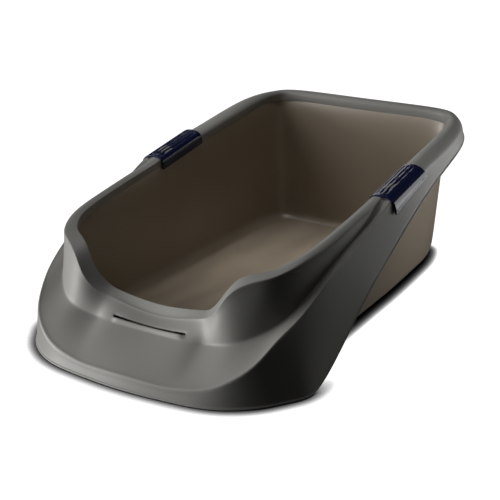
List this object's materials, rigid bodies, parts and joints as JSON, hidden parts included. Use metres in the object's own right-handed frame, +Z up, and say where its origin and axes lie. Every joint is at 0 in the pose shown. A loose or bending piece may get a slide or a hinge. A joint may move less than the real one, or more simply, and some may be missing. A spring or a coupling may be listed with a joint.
{
  "type": "open cat litter pan with entry ramp frame",
  "caption": "Open high-backed cat litter pan: deep tub under a one-piece rim frame with scooped entry and ramp, held by side clips.",
  "frame": {"origin": "centre of the overall bounding box, on the floor", "axes": "+Y from the low entry end to the high back, +X to the right seen from the entry, +Z up"},
  "size_m": [0.4564, 0.756, 0.2448],
  "materials": {
    "tub_plastic": "satin moulded",
    "frame_plastic": "satin moulded",
    "clip_plastic": "glossy"
  },
  "bodies": {
    "pan": {"tub": "tub_plastic"},
    "frame": {"rim_frame": "frame_plastic"},
    "left_clip": {"clip_left": "clip_plastic"},
    "right_clip": {"clip_right": "clip_plastic"}
  },
  "joints": [
    {"name": "frame_lift", "type": "slide", "parent": "pan", "child": "frame", "axis": [0, 0, 1], "range_m": [0, 0.12]},
    {"name": "left_clip_pull", "type": "slide", "parent": "frame", "child": "left_clip", "axis": [0, -0.1191, 0.9929], "range_m": [0, 0.06]},
    {"name": "right_clip_pull", "type": "slide", "parent": "frame", "child": "right_clip", "axis": [0, -0.1191, 0.9929], "range_m": [0, 0.06]}
  ]
}
